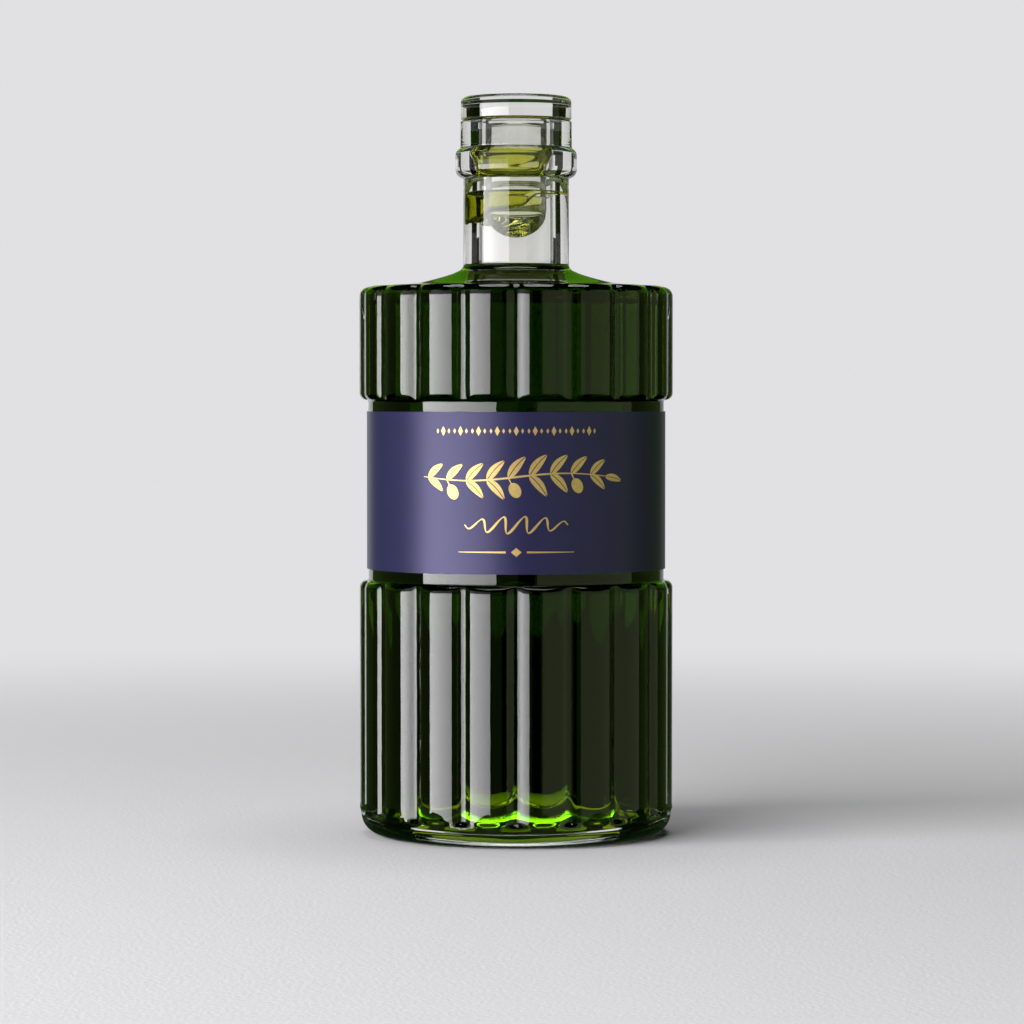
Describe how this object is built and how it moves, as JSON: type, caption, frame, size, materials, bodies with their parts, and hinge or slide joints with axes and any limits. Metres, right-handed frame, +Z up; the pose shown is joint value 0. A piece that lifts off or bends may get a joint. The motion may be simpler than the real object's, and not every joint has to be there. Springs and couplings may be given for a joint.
{
  "type": "olive oil bottle",
  "caption": "Reeded clear glass bottle full of olive oil, with a wrapped paper label in a smooth recess and a round-ended glass stopper.",
  "frame": {"origin": "centre of the standing ring, on the surface the bottle stands on", "axes": "+Z up the bottle's axis, -Y towards the front, with a reed's crown at +X"},
  "size_m": [0.08, 0.0792, 0.1876],
  "materials": {
    "bottle_glass": "clear, polished",
    "olive_oil": "clear liquid, deep green in bulk and yellow-green where thin",
    "label_paper": "satin indigo paper with gold foil marks",
    "stopper_glass": "clear, polished"
  },
  "bodies": {
    "root": {"glass_bottle": "bottle_glass", "olive_oil": "olive_oil", "label": "label_paper", "stopper": "stopper_glass"}
  },
  "joints": []
}
